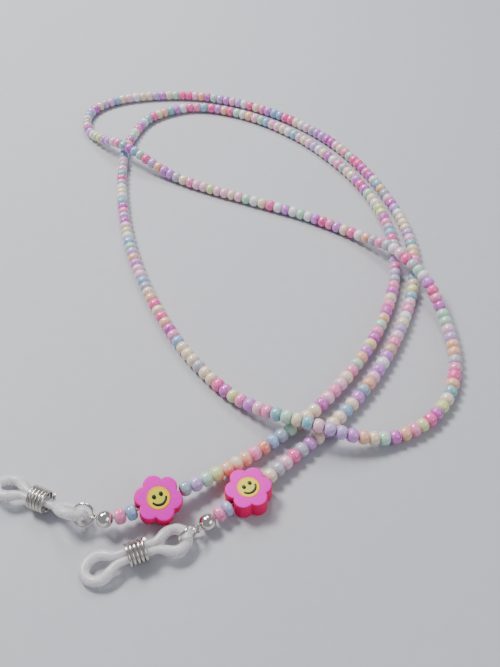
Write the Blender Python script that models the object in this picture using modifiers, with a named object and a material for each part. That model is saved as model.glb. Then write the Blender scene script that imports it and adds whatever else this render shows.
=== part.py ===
"""Beaded eyeglass strap lying on a table, in metres, +Z up, origin under the middle of the strap.

A strand of glass seed beads on coated wire carries a clay flower bead and two accent beads at
each end. Each wire end is crimped under a round cover and loops through a jump ring, which holds
a silicone temple loop pinched into a figure of eight by a sliding wire coil.
"""

import math

import bpy
from mathutils import Matrix, Vector

MM = 0.001
UP = Vector((0, 0, 1))

# Strand
BEAD_R = 1.5 * MM  # size 8/0 glass seed beads
BEAD_BORE_R = 0.525 * MM
BEAD_GAP = 0.3 * MM  # between neighbours on the wire
WIRE_R = 0.225 * MM  # nylon-coated beading wire
CROSSING_GAP = 0.35 * MM  # between the strand and itself where it crosses over
RUNS = 16  # lengths of seed beads along the wire
RUN_POINTS = 12  # of the route in each run
RUN_END = 0.6 * MM  # a short first and last stretch squares a run's ends to the wire

ACCENT_GAP = 0.2 * MM  # beside each accent bead

# Flower bead
FLOWER_ACROSS = 9.0 * MM  # petal tip to petal tip
FLOWER_THICK = 4.0 * MM
PETALS = 6
PETAL_R = 1.9 * MM
PETAL_STEPS = 8  # straight edges round each petal
PETAL_CHAMFER = 0.3 * MM
FACE_R = 2.25 * MM
FACE_GAP = 0.15 * MM  # round the face disc, which is pressed into the petals
THREAD_HOLE_R = 0.7 * MM

# Crimp tube and its round cover
COVER_R = 1.6 * MM
COVER_WALL = 0.3 * MM
COVER_HOLE_R = 0.85 * MM
CRIMP_R = 0.72 * MM
CRIMP_LENGTH = 1.35 * MM

# Wire guard, jump ring and the play in each link
GUARD_WIRE_R = 0.2 * MM
RING_WIRE_R = 0.3 * MM
RING_ACROSS = 4.6 * MM  # outside
LINK_GAP = 0.22 * MM
LEG_GAP = 0.32 * MM  # between the guard's legs and the edge of the cover's hole
LOOP_GAP = 0.44 * MM  # between the guard and the small lobe's tip

# Silicone temple loop, lengths from the coil to each tip on the cord's centreline
SILICONE_R = 1.0 * MM
EYE_LENGTH = 7.6 * MM
EYE_HALF_WIDTH = 2.3 * MM
SMALL_LENGTH = 7.1 * MM
SMALL_OPENING = 1.15 * MM  # half of it, which the jump ring passes through
EYE_BEARING = 0.85  # share of the eye's half width that its roll lifts its middle by
NECK_R = 0.7 * MM  # the cord squeezed inside the coil
NECK_GAP = 0.12 * MM  # between the two squeezed cords

# Sliding coil
COIL_WIRE_R = 0.3 * MM
COIL_PITCH = 0.72 * MM
COIL_TURNS = 5
COIL_TRAVEL = 1.0 * MM  # each way along the straight neck
COIL_GAP = 0.22 * MM  # round the squeezed cords
COIL_STEPS = 10  # points in each turn
REST_GAP = 0.05 * MM  # under a ring or a coil that stands on its side

# How each end lies. Headings are degrees anticlockwise from +X and point out from the strand,
# tilt leans the flower's face to -Y, and a roll raises the -Y side of a lobe. The accent beads,
# with their lengths, go from the flower outwards.
ENDS = {
    "left": {
        "flower": (-0.01705, 0.06240),
        "thread_heading": 207.8,
        "tilt": 17.0,
        "tail_curvature": -59.0,
        "link_heading": 169.0,
        "loop_heading": 157.0,
        "small_roll": 52.0,
        "eye_roll": 20.0,
        "accents": (("blue", 1.9 * MM), ("pink", 2.0 * MM)),
    },
    "right": {
        "flower": (-0.00030, 0.06480),
        "thread_heading": 220.4,
        "tilt": 0.0,
        "tail_curvature": -11.0,
        "link_heading": 217.0,
        "loop_heading": 200.5,
        "small_roll": 0.0,
        "eye_roll": 0.0,
        "accents": (("lavender", 1.65 * MM), ("pink", 1.7 * MM)),
    },
}

# The strand's route from the left flower to the right one: x, y and its lift, from 0 on the
# table to 1 on top of another strand
ROUTE = (
    (-0.0085, 0.0672, 0.33),
    (0.0024, 0.0749, 0),
    (0.0140, 0.0848, 0),
    (0.0243, 0.0978, 0),
    (0.0319, 0.1118, 0),
    (0.0368, 0.1274, 0),
    (0.0379, 0.1444, 0),
    (0.0343, 0.1614, 0),
    (0.0270, 0.1768, 0),
    (0.0142, 0.1940, 0),
    (-0.0030, 0.2070, 0),
    (-0.0194, 0.2114, 0),
    (-0.0326, 0.2048, 0),
    (-0.0382, 0.1900, 0),
    (-0.0386, 0.1760, 0),
    (-0.0364, 0.1580, 0),
    (-0.0316, 0.1376, 0),
    (-0.0246, 0.1192, 0),
    (-0.0146, 0.1009, 0),
    (-0.0046, 0.0889, 0.06),
    (0.0024, 0.0834, 0.5),
    (0.0086, 0.0799, 1),
    (0.0148, 0.0777, 1),
    (0.0220, 0.0766, 0.5),
    (0.0290, 0.0775, 0.03),
    (0.0356, 0.0806, 0),
    (0.0410, 0.0858, 0),
    (0.0446, 0.0928, 0),
    (0.0463, 0.1006, 0),
    (0.0457, 0.1120, 0.3),
    (0.0433, 0.1208, 0.95),
    (0.0402, 0.1274, 1.05),
    (0.0366, 0.1333, 1.02),
    (0.0320, 0.1390, 0.45),
    (0.0260, 0.1446, 0.03),
    (0.0156, 0.1513, 0),
    (0.0008, 0.1583, 0),
    (-0.0134, 0.1650, 0),
    (-0.0224, 0.1701, 0.08),
    (-0.0292, 0.1747, 0.5),
    (-0.0352, 0.1790, 1),
    (-0.0408, 0.1835, 1),
    (-0.0464, 0.1888, 0.45),
    (-0.0516, 0.1954, 0.04),
    (-0.0539, 0.2028, 0),
    (-0.0523, 0.2102, 0),
    (-0.0468, 0.2156, 0),
    (-0.0385, 0.2186, 0),
    (-0.0285, 0.2198, 0),
    (-0.0178, 0.2192, 0),
    (-0.0016, 0.2134, 0),
    (0.0134, 0.2032, 0),
    (0.0258, 0.1894, 0),
    (0.0344, 0.1738, 0),
    (0.0396, 0.1590, 0),
    (0.0423, 0.1460, 0),
    (0.0425, 0.1320, 0),
    (0.0395, 0.1188, 0),
    (0.0343, 0.1060, 0),
    (0.0266, 0.0926, 0),
    (0.0170, 0.0807, 0),
    (0.0092, 0.0735, 0.05),
)
MIDDLE = Vector((-0.00378, 0.13414, 0))  # the middle of the outline, which becomes the origin

# Worked out from the sizes above
CROSSING_LIFT = 2 * BEAD_R + CROSSING_GAP
PETAL_CENTRE = FLOWER_ACROSS / 2 - PETAL_R
FLOWER_REACH = PETAL_CENTRE * math.cos(math.pi / PETALS) + PETAL_R  # along the thread
NECK_HALF = NECK_R + NECK_GAP / 2
SMALL_HALF_WIDTH = SMALL_OPENING + SILICONE_R
COIL_R = NECK_HALF + NECK_R + COIL_GAP + COIL_WIRE_R
COIL_LENGTH = COIL_TURNS * COIL_PITCH + 2 * COIL_WIRE_R
RING_R = RING_ACROSS / 2 - RING_WIRE_R
GUARD_HALF = RING_WIRE_R + LINK_GAP + GUARD_WIRE_R
RING_FROM_COVER = COVER_R + LINK_GAP + RING_WIRE_R  # to the ring's wire in the guard
LOOP_FROM_COVER = RING_FROM_COVER + GUARD_HALF + GUARD_WIRE_R + LOOP_GAP + SILICONE_R

COLOURS = {
    "seed_glass": ((0.80, 0.62, 0.72), 0.15, 0.0),
    "coated_wire": ((0.72, 0.73, 0.75), 0.40, 1.0),
    "silver": ((0.80, 0.80, 0.82), 0.15, 1.0),
    "steel": ((0.70, 0.70, 0.72), 0.25, 1.0),
    "silicone": ((0.86, 0.88, 0.90), 0.35, 0.0),
    "petal_clay": ((0.90, 0.02, 0.42), 0.55, 0.0),
    "face_clay": ((0.95, 0.80, 0.10), 0.55, 0.0),
    "pink": ((0.90, 0.35, 0.52), 0.15, 0.0),
    "blue": ((0.35, 0.58, 0.72), 0.15, 0.0),
    "lavender": ((0.52, 0.50, 0.76), 0.15, 0.0),
}


def clear_scene():
    for old in list(bpy.data.objects):
        bpy.data.objects.remove(old, do_unlink=True)


def make_collection(name, helper=False):
    made = bpy.data.collections.new(name)
    bpy.context.scene.collection.children.link(made)
    made.hide_render = helper
    return made


def make_material(name, colour, roughness, metallic):
    made = bpy.data.materials.new(name)
    made.use_nodes = True
    shader = made.node_tree.nodes["Principled BSDF"]
    shader.inputs["Base Color"].default_value = (*colour, 1)
    shader.inputs["Roughness"].default_value = roughness
    shader.inputs["Metallic"].default_value = metallic
    return made


clear_scene()
STRAP = make_collection("beaded_eyeglass_strap")
CUTTERS = make_collection("cutters", helper=True)
MATERIALS = {name: make_material(name, *look) for name, look in COLOURS.items()}


def add_object(name, data, matrix, parent=None, collection=STRAP):
    """Links an object that stands at matrix in the world, under its parent if it has one."""
    made = bpy.data.objects.new(name, data)
    collection.objects.link(made)
    if parent:
        bpy.context.view_layer.update()
        made.parent = parent
        made.matrix_parent_inverse = parent.matrix_world.inverted()
    made.matrix_basis = matrix
    return made


def add_pivot(name, matrix, parent=None):
    pivot = add_object(name, None, matrix, parent)
    pivot.empty_display_size = 2 * MM
    return pivot


def tube(name, points, radius, material, matrix=None, parent=None, cyclic=False, shares=None):
    """A round wire or cord along points, whose radius may be scaled point by point."""
    curve = bpy.data.curves.new(name, "CURVE")
    curve.dimensions = "3D"
    curve.bevel_depth = radius
    curve.bevel_resolution = 2
    curve.use_fill_caps = not cyclic
    line = curve.splines.new("POLY")
    line.points.add(len(points) - 1)
    for index, point in enumerate(points):
        line.points[index].co = (*point, 1)
        line.points[index].radius = shares[index] if shares else 1
    line.use_cyclic_u = cyclic
    line.use_smooth = True
    curve.materials.append(MATERIALS[material])
    return add_object(name, curve, matrix or Matrix(), parent)


def turned(name, profile, steps, material, matrix, parent=None, collection=STRAP):
    """A closed profile of (radius, height) turned round the local Z axis.

    The profile runs down its outer side and back up its inner side.
    """
    mesh = bpy.data.meshes.new(name)
    count = len(profile)
    edges = [(i, (i + 1) % count) for i in range(count)]
    mesh.from_pydata([(r, 0, z) for r, z in profile], edges, [])
    if material:
        mesh.materials.append(MATERIALS[material])
    made = add_object(name, mesh, matrix, parent, collection)
    screw = made.modifiers.new("Turn", "SCREW")
    screw.steps = steps
    screw.render_steps = steps
    screw.use_merge_vertices = True
    screw.merge_threshold = 0.001 * MM
    screw.use_smooth_shade = True
    return made


def taken_mesh(material):
    """The mesh of the primitive just added, without its object."""
    mesh = bpy.context.object.data
    bpy.data.objects.remove(bpy.context.object, do_unlink=True)
    mesh.materials.append(MATERIALS[material])
    return mesh


def mesh_copy(source):
    """A mesh object from a flat curve, with its caps welded, in place of the curve."""
    graph = bpy.context.evaluated_depsgraph_get()
    mesh = bpy.data.meshes.new_from_object(source.evaluated_get(graph))
    name, matrix, parent = source.name, source.matrix_basis.copy(), source.parent
    bpy.data.objects.remove(source, do_unlink=True)
    made = add_object(name, mesh, matrix, parent)
    weld = made.modifiers.new("Weld caps", "WELD")
    weld.merge_threshold = 0.001 * MM
    return made


def cut(target, cutter):
    boolean = target.modifiers.new("Cut " + cutter.name, "BOOLEAN")
    boolean.operation = "DIFFERENCE"
    boolean.object = cutter


def cylinder_cutter(name, radius, length, matrix, steps=24):
    profile = [(0, length / 2), (radius, length / 2), (radius, -length / 2), (0, -length / 2)]
    mesh = bpy.data.meshes.new(name)
    mesh.from_pydata([(r, 0, z) for r, z in profile], [(0, 1), (1, 2), (2, 3)], [])
    made = add_object(name, mesh, matrix, collection=CUTTERS)
    screw = made.modifiers.new("Turn", "SCREW")
    screw.steps = steps
    screw.render_steps = steps
    screw.use_merge_vertices = True
    screw.merge_threshold = 0.001 * MM
    made.display_type = "WIRE"
    made.hide_render = True
    return made


def heading_vector(degrees):
    angle = math.radians(degrees)
    return Vector((math.cos(angle), math.sin(angle), 0))


def axes(origin, x_axis, z_axis):
    """The matrix at origin with local X along x_axis and local Z as near z_axis as it can be."""
    x_axis = x_axis.normalized()
    y_axis = z_axis.cross(x_axis).normalized()
    z_axis = x_axis.cross(y_axis)
    return Matrix.Translation(origin) @ Matrix((x_axis, y_axis, z_axis)).transposed().to_4x4()


def along_x(matrix):
    """The same place with local Z turned on to what was local X, for turned pieces."""
    return matrix @ Matrix.Rotation(math.pi / 2, 4, "Y")


# ---------------------------------------------------------------- where the ends lie


def thread_height(end):
    """The flower stands on its lower edge, so its tilt raises the thread through its middle."""
    tilt = math.radians(end["tilt"])
    return FLOWER_THICK / 2 * math.cos(tilt) + FLOWER_ACROSS / 2 * math.sin(tilt)


def cover_distance(end):
    """From the flower's middle to the crimp cover's, past the accent beads and their gaps."""
    beads = sum(length for _, length in end["accents"])
    return FLOWER_REACH + beads + (len(end["accents"]) + 1) * ACCENT_GAP + COVER_R


def flower_matrix(end):
    """Origin in the flower's middle, X out along the thread, Z out of its face."""
    centre = Vector((*end["flower"], thread_height(end))) - MIDDLE
    outward = heading_vector(end["thread_heading"])
    level = axes(centre, outward, UP)
    return level @ Matrix.Rotation(-math.radians(end["tilt"]), 4, "X")


def tail_matrix(end, distance):
    """A place on the thread this far out from the flower's middle: X outwards, Z up.

    The thread is straight inside the flower and then bends with one curvature.
    """
    outward = heading_vector(end["thread_heading"])
    sideways = UP.cross(outward)
    centre = Vector((*end["flower"], thread_height(end))) - MIDDLE
    bent = max(distance - FLOWER_REACH, 0)
    turn = bent * end["tail_curvature"]
    reach = math.sin(turn) / end["tail_curvature"]
    drift = (1 - math.cos(turn)) / end["tail_curvature"]
    place = centre + outward * (min(distance, FLOWER_REACH) + reach) + sideways * drift
    return axes(place, heading_vector(end["thread_heading"] + math.degrees(turn)), UP)


def link_matrix(end):
    """Origin in the crimp cover's middle, X out to the ring, Y across the guard's flat side."""
    level = axes(
        tail_matrix(end, cover_distance(end)).translation, heading_vector(end["link_heading"]), UP
    )
    return level @ Matrix.Rotation(math.radians(end["small_roll"]), 4, "X")


def ring_centre(end):
    """The ring hangs in the guard, or stands on the table where the guard lies lower than that."""
    link = link_matrix(end)
    guard = link @ Vector((RING_FROM_COVER, 0, 0))
    outward = link.to_3x3() @ Vector((1, 0, 0))
    lowest = (RING_R + RING_WIRE_R) * abs((link.to_3x3() @ UP).z) + REST_GAP
    rise = max(lowest - guard.z, 0)
    return guard + outward * math.sqrt(RING_R**2 - rise**2) + UP * rise


# ---------------------------------------------------------------- strand


def smooth_line(points, steps):
    """A centripetal Catmull-Rom curve through all points but the first and the last."""
    line = []
    for before, start, stop, after in zip(points, points[1:], points[2:], points[3:]):
        a = math.sqrt((start - before).length)
        b = math.sqrt((stop - start).length)
        c = math.sqrt((after - stop).length)
        leave = (stop - start) + b * ((start - before) / a - (stop - before) / (a + b))
        arrive = (stop - start) + b * ((after - stop) / c - (after - start) / (b + c))
        for step in range(steps):
            t = step / steps
            line.append(
                (2 * t**3 - 3 * t**2 + 1) * start
                + (t**3 - 2 * t**2 + t) * leave
                + (3 * t**2 - 2 * t**3) * stop
                + (t**3 - t**2) * arrive
            )
    return line + [points[-2]]


def strand_line():
    """The wire's centreline between the two flowers, as closely spaced points."""
    left, right = ENDS["left"], ENDS["right"]
    start = -FLOWER_REACH - ACCENT_GAP
    points = [tail_matrix(left, 0).translation, tail_matrix(left, start).translation]
    for x, y, lift in ROUTE:
        points.append(Vector((x, y, BEAD_R + lift * CROSSING_LIFT)) - MIDDLE)
    points += [tail_matrix(right, start).translation, tail_matrix(right, 0).translation]
    line = smooth_line(points, 16)
    for point in line:
        point.z = max(point.z, BEAD_R)
    return line


def place_on(line, distances):
    """The points at these distances along a line, which rise from first to last."""
    found = []
    index, covered = 0, 0.0
    for distance in distances:
        while index < len(line) - 2 and covered + (line[index + 1] - line[index]).length < distance:
            covered += (line[index + 1] - line[index]).length
            index += 1
        step = line[index + 1] - line[index]
        found.append(line[index] + step * ((distance - covered) / step.length))
    return found


def strand():
    """The wire, and the seed beads on it as hollow runs that share the wire's own points."""
    left, right = ENDS["left"], ENDS["right"]
    line = strand_line()
    length = sum((b - a).length for a, b in zip(line, line[1:]))
    wire = [tail_matrix(left, d).translation for d in tail_stations(left)]
    run_length = length / RUNS
    for run in range(RUNS):
        first = run * run_length + BEAD_GAP / 2
        last = (run + 1) * run_length - BEAD_GAP / 2
        pitch = (last - first - 2 * RUN_END) / (RUN_POINTS - 3)
        between = [first + RUN_END + pitch * i for i in range(RUN_POINTS - 2)]
        points = place_on(line, [first, *between, last])
        made = tube(f"bead_run_{run + 1:02d}", points, BEAD_R, "seed_glass")
        made.data.use_fill_caps = False
        wall = made.modifiers.new("Bead wall", "SOLIDIFY")
        wall.thickness = BEAD_R - BEAD_BORE_R
        wall.offset = -1
        wire += points
    wire += [tail_matrix(right, d).translation for d in reversed(tail_stations(right))]
    tube("beading_wire", wire, WIRE_R, "coated_wire")


def tail_stations(end):
    """Distances out from a flower's middle, outermost first, where the wire has a point."""
    cover = cover_distance(end)
    bends = [cover - COVER_R]
    bends.append(bends[0] - ACCENT_GAP - end["accents"][1][1])
    return [cover + CRIMP_LENGTH / 2] + bends + [FLOWER_REACH]


# ---------------------------------------------------------------- what is on the strand


def accent_beads(side, end):
    """Two seed beads between the flower and the crimp cover."""
    start = FLOWER_REACH + ACCENT_GAP
    for colour, length in end["accents"]:
        matrix = tail_matrix(end, start + length / 2)
        half, round_off = length / 2, 0.45 * MM
        outer = [(BEAD_R, half - round_off), (BEAD_R, round_off - half)]
        profile = [(BEAD_R - round_off, half)] + outer + [(BEAD_R - round_off, -half)]
        profile += [(BEAD_BORE_R, -half), (BEAD_BORE_R, half)]
        turned(f"{colour}_bead_{side}", profile, 16, colour, along_x(matrix))
        start += length + ACCENT_GAP


def flower_outline():
    """Six round petals, as a ring of points: the outer arc of each petal circle in turn."""
    points = []
    for petal in range(PETALS):
        middle = (petal + 0.5) * 2 * math.pi / PETALS
        for step in range(PETAL_STEPS):
            off = (step / PETAL_STEPS - 0.5) * 2 * math.pi / PETALS
            reach = PETAL_CENTRE * math.cos(off)
            reach += math.sqrt(PETAL_R**2 - (PETAL_CENTRE * math.sin(off)) ** 2)
            points.append((reach * math.cos(middle + off), reach * math.sin(middle + off), 0))
    return points


def flower(side, end):
    """The petals with the face disc pressed through their middle, on one thread hole."""
    matrix = flower_matrix(end)
    pivot = add_pivot(f"flower_pivot_{side}", matrix)
    outline = bpy.data.curves.new(f"flower_petals_{side}", "CURVE")
    outline.dimensions = "2D"
    outline.fill_mode = "BOTH"
    outline.extrude = FLOWER_THICK / 2
    line = outline.splines.new("POLY")
    points = flower_outline()
    line.points.add(len(points) - 1)
    for index, point in enumerate(points):
        line.points[index].co = (*point, 1)
    line.use_cyclic_u = True
    outline.materials.append(MATERIALS["petal_clay"])
    petals = mesh_copy(add_object(f"flower_petals_{side}", outline, matrix, pivot))
    chamfer = petals.modifiers.new("Rounded rim", "BEVEL")
    chamfer.width = PETAL_CHAMFER
    chamfer.segments = 1
    chamfer.limit_method = "ANGLE"
    chamfer.angle_limit = math.radians(88)

    long_enough = 2 * FLOWER_ACROSS
    socket = cylinder_cutter(f"socket_{side}", FACE_R + FACE_GAP, long_enough, matrix, 32)
    thread = cylinder_cutter(f"thread_hole_{side}", THREAD_HOLE_R, long_enough, along_x(matrix), 12)
    cut(petals, socket)
    cut(petals, thread)

    bpy.ops.mesh.primitive_cylinder_add(vertices=32, radius=FACE_R, depth=FLOWER_THICK)
    face = add_object(f"flower_face_{side}", taken_mesh("face_clay"), matrix, pivot)
    cut(face, thread)


def crimp(side, end):
    """The crimp tube on the wire's end, inside its round cover, which is open at both poles."""
    tail = tail_matrix(end, cover_distance(end))
    half = CRIMP_LENGTH / 2
    profile = [(CRIMP_R, half), (CRIMP_R, -half), (BEAD_BORE_R, -half), (BEAD_BORE_R, half)]
    turned(f"crimp_tube_{side}", profile, 12, "steel", along_x(tail))

    inner = COVER_R - COVER_WALL
    arcs = []
    for radius in (COVER_R, inner):
        edge = math.asin(COVER_HOLE_R / radius)
        turns = [edge + (math.pi - 2 * edge) * i / 8 for i in range(9)]
        arcs.append([(radius * math.sin(a), radius * math.cos(a)) for a in turns])
    # the cover's holes face between the thread and the link, nearer the link
    outward = tail.col[0].to_3d() + 2 * heading_vector(end["link_heading"])
    matrix = along_x(axes(tail.translation, outward, UP))
    turned(f"crimp_cover_{side}", arcs[0] + arcs[1][::-1], 20, "silver", matrix)


# ---------------------------------------------------------------- links and temple loops


def wire_guard(side, end):
    """The horseshoe that keeps the wire's loop round: its legs go into the crimp cover."""
    leg = COVER_HOLE_R - GUARD_WIRE_R - LEG_GAP
    arc = [math.radians(a) for a in range(-90, 91, 30)]
    points = [Vector((COVER_R - COVER_WALL, -leg, 0))]
    for angle in arc:
        bend = GUARD_HALF * Vector((math.cos(angle), math.sin(angle), 0))
        points.append(Vector((RING_FROM_COVER, 0, 0)) + bend)
    points.append(Vector((COVER_R - COVER_WALL, leg, 0)))
    tube(f"wire_guard_{side}", points, GUARD_WIRE_R, "silver", link_matrix(end))


def jump_ring(side, end):
    """The ring turns sideways in the guard, about its own wire."""
    link = link_matrix(end)
    pivot_matrix = link.copy()
    pivot_matrix.translation = link @ Vector((RING_FROM_COVER, 0, 0))
    pivot = add_pivot(f"ring_pivot_{side}", pivot_matrix)
    bpy.ops.mesh.primitive_torus_add(
        major_radius=RING_R, minor_radius=RING_WIRE_R, major_segments=28, minor_segments=8
    )
    matrix = link @ Matrix.Rotation(math.pi / 2, 4, "X")
    matrix.translation = ring_centre(end)
    add_object(f"jump_ring_{side}", taken_mesh("silver"), matrix, pivot)
    return pivot


def lobe(length, half_width):
    """One side of a lobe from the coil to the tip: (distance, half width, share of the cord's
    radius). A straight neck for the coil's travel, an S-bend out, and an elliptical end."""
    widest = COIL_TRAVEL + 0.6 * (length - COIL_TRAVEL)
    points = [(COIL_TRAVEL, NECK_HALF, NECK_R / SILICONE_R)]
    for step in (1, 2, 3, 4):
        t = step / 4
        ease = math.sin(t * math.pi / 2) ** 2
        wide = NECK_HALF + (half_width - NECK_HALF) * ease
        share = NECK_R / SILICONE_R
        share += (1 - share) * min(1, 1.6 * t)
        points.append((COIL_TRAVEL + t * (widest - COIL_TRAVEL), wide, share))
    for degrees in (22.5, 45, 67.5, 90):
        a = math.radians(degrees)
        far = widest + (length - widest) * math.sin(a)
        points.append((far, half_width * math.cos(a), 1))
    return points


def loop_line(end):
    """The silicone cord's centreline in its own axes: X out along the loop from the small tip,
    Y across, Z up. The small lobe and the eye may be rolled by different angles."""
    coil_start = SMALL_LENGTH
    coil_end = coil_start + COIL_LENGTH
    total = coil_end + EYE_LENGTH
    small = [(coil_start - d, w, share) for d, w, share in lobe(SMALL_LENGTH, SMALL_HALF_WIDTH)]
    eye = [(coil_end + d, w, share) for d, w, share in lobe(EYE_LENGTH, EYE_HALF_WIDTH)]
    squeezed = NECK_R / SILICONE_R
    neck = [(coil_start + COIL_LENGTH * t, NECK_HALF, squeezed) for t in (0, 1 / 3, 2 / 3, 1)]
    side = small[::-1] + neck + eye

    tip_height = ring_centre(end).z - 0.35 * MM
    coil_height = COIL_R + COIL_WIRE_R + REST_GAP
    eye_roll = math.radians(end["eye_roll"])
    eye_height = SILICONE_R + EYE_BEARING * EYE_HALF_WIDTH * math.sin(eye_roll)

    def spine(x):
        if x < coil_start:
            t = x / coil_start
            low, high = tip_height, coil_height
        else:
            t = max(0, (x - coil_end) / (total - coil_end))
            low, high = coil_height, eye_height
        return low + (high - low) * t * t * (3 - 2 * t)

    def roll(x):
        t = min(max((x - coil_start) / COIL_LENGTH, 0), 1)
        return math.radians(end["small_roll"] + (end["eye_roll"] - end["small_roll"]) * t)

    points, shares = [], []
    for sign, stations in ((1, side), (-1, side[-2:0:-1])):
        for x, wide, share in stations:
            across, raised = math.cos(roll(x)), math.sin(roll(x))
            points.append(Vector((x, sign * wide * across, spine(x) + sign * wide * raised)))
            shares.append(share)
    return points, shares


def loop_matrix(end):
    """Origin on the table under the small lobe's tip, X out along the loop, Z up."""
    tip = link_matrix(end) @ Vector((LOOP_FROM_COVER, 0, 0))
    tip.z = 0
    return axes(tip, heading_vector(end["loop_heading"]), UP)


def temple_loop(side, end, ring_pivot):
    """The silicone loop, hinged on the ring at the small lobe's tip, and the coil on its neck."""
    ground = loop_matrix(end)
    points, shares = loop_line(end)
    hinge = ground @ Matrix.Rotation(math.radians(end["small_roll"]), 4, "X")
    hinge.translation = ground @ points[0]
    local = hinge.inverted() @ ground
    pivot = add_pivot(f"loop_pivot_{side}", hinge, ring_pivot)
    cord = [local @ point for point in points]
    tube(
        f"temple_loop_{side}", cord, SILICONE_R, "silicone", hinge, pivot, cyclic=True, shares=shares
    )

    height = COIL_R + COIL_WIRE_R + REST_GAP
    middle = ground @ Matrix.Translation((SMALL_LENGTH + COIL_LENGTH / 2, 0, height))
    turns = []
    for step in range(COIL_TURNS * COIL_STEPS + 1):
        angle = 2 * math.pi * step / COIL_STEPS
        x = (step / COIL_STEPS - COIL_TURNS / 2) * COIL_PITCH
        turns.append(Vector((x, COIL_R * math.cos(angle), COIL_R * math.sin(angle))))
    tube(f"sliding_coil_{side}", turns, COIL_WIRE_R, "steel", middle, pivot)


strand()
for end_side, end_layout in ENDS.items():
    accent_beads(end_side, end_layout)
    flower(end_side, end_layout)
    crimp(end_side, end_layout)
    wire_guard(end_side, end_layout)
    temple_loop(end_side, end_layout, jump_ring(end_side, end_layout))
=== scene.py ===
"""The looks of a beaded eyeglass strap that lies on a table. Metres, +Z up.

Every seed bead is separate here, strung on one wire along the route that the CAD model gives.
"""

import math
import random

import bmesh
import bpy
from mathutils import Matrix, Vector


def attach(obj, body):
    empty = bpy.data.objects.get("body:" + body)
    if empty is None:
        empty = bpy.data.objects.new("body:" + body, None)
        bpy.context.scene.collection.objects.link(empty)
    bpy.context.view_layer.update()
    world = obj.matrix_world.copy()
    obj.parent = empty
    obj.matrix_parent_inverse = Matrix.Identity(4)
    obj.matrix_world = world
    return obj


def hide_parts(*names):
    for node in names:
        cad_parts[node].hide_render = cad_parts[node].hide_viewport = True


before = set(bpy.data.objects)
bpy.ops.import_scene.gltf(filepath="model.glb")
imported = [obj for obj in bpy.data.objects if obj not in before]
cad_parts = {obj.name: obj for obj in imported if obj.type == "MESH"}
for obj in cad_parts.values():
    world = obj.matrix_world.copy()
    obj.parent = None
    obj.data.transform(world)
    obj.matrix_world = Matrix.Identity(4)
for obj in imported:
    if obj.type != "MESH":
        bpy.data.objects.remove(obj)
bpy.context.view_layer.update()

MM = 0.001
UP = Vector((0, 0, 1))

# ---------------------------------------------------------------- sizes, as in the CAD model

BEAD_R = 1.5 * MM
BEAD_LENGTH = 2.3 * MM
BORE_R = 0.5 * MM
WIRE_R = 0.225 * MM
RUNS = 16

FLOWER_ACROSS = 9.0 * MM
FLOWER_THICK = 4.0 * MM
PETALS = 6
PETAL_R = 1.9 * MM
FACE_R = 2.25 * MM
THREAD_HOLE_R = 0.7 * MM

COVER_R = 1.6 * MM
COVER_WALL = 0.3 * MM
COVER_HOLE_R = 0.85 * MM
GUARD_WIRE_R = 0.2 * MM
RING_WIRE_R = 0.3 * MM
RING_R = 2.0 * MM
SILICONE_R = 1.0 * MM
EYE_LENGTH = 7.6 * MM
EYE_HALF_WIDTH = 2.3 * MM
SMALL_LENGTH = 7.1 * MM
SMALL_OPENING = 1.15 * MM
SMALL_HALF_WIDTH = SILICONE_R + SMALL_OPENING
EYE_BEARING = 0.85
NECK_R = 0.7 * MM
NECK_GAP = 0.12 * MM
NECK_HALF = NECK_R + NECK_GAP / 2
COIL_WIRE_R = 0.3 * MM
COIL_GAP = 0.22 * MM
COIL_R = NECK_HALF + NECK_R + COIL_GAP + COIL_WIRE_R
COIL_PITCH = 0.72 * MM
COIL_TURNS = 5
COIL_LENGTH = COIL_TURNS * COIL_PITCH + 2 * COIL_WIRE_R
COIL_TRAVEL = 1.0 * MM
REST_GAP = 0.05 * MM

# Distances along the thread from a flower's middle, and outwards from a crimp cover's middle
FLOWER_REACH = (FLOWER_ACROSS / 2 - PETAL_R) * math.cos(math.pi / PETALS) + PETAL_R
START_GAP = 0.2 * MM
ACCENT_GAP = 0.2 * MM
CRIMP_HALF = 0.675 * MM
RING_FROM_COVER = 2.12 * MM
GUARD_HALF = 0.72 * MM
GUARD_LEG = 0.33 * MM
LOOP_GAP = 0.44 * MM
LOOP_FROM_COVER = RING_FROM_COVER + GUARD_HALF + GUARD_WIRE_R + LOOP_GAP + SILICONE_R

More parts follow.
